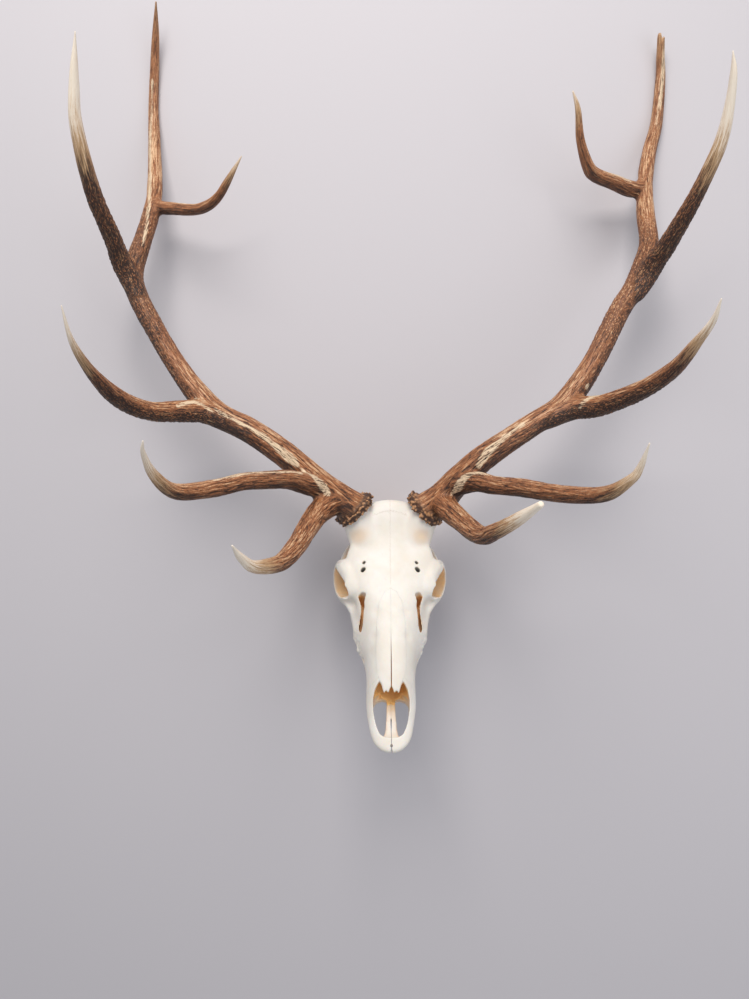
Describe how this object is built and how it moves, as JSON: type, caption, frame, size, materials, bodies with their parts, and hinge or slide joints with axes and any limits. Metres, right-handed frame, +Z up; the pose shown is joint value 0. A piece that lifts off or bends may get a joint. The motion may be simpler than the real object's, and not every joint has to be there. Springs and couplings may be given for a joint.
{
  "type": "elk skull",
  "caption": "Bleached bull elk skull with both antlers, no lower jaw, lying nose up on the back of the skull and the backs of its main beams.",
  "frame": {"origin": "on the surface it lies on, under the middle of the whole object's box", "axes": "+Z up from the surface, +Y from the nose back along the beams, +X to the animal's left"},
  "size_m": [1.0018, 1.284, 0.5442],
  "materials": {
    "bone": "bleached, matt to satin bone, warmer in the hollows",
    "tooth": "worn enamel, satin",
    "antler": "grooved and pearled brown antler with pale rubbed ridges and ivory tips"
  },
  "bodies": {
    "root": {"cranium": "bone", "left_nasal_bone": "bone", "left_premaxilla": "bone", "left_second_premolar": "tooth", "left_third_premolar": "tooth", "left_fourth_premolar": "tooth", "left_first_molar": "tooth", "left_second_molar": "tooth", "left_third_molar": "tooth", "left_lower_beam": "antler", "left_middle_beam": "antler", "left_upper_beam": "antler", "left_brow_tine": "antler", "left_bez_tine": "antler", "left_trez_tine": "antler", "left_royal_tine": "antler", "left_fifth_tine": "antler", "right_nasal_bone": "bone", "right_premaxilla": "bone", "right_second_premolar": "tooth", "right_third_premolar": "tooth", "right_fourth_premolar": "tooth", "right_first_molar": "tooth", "right_second_molar": "tooth", "right_third_molar": "tooth", "right_lower_beam": "antler", "right_middle_beam": "antler", "right_upper_beam": "antler", "right_brow_tine": "antler", "right_bez_tine": "antler", "right_trez_tine": "antler", "right_royal_tine": "antler", "right_fifth_tine": "antler"}
  },
  "joints": []
}
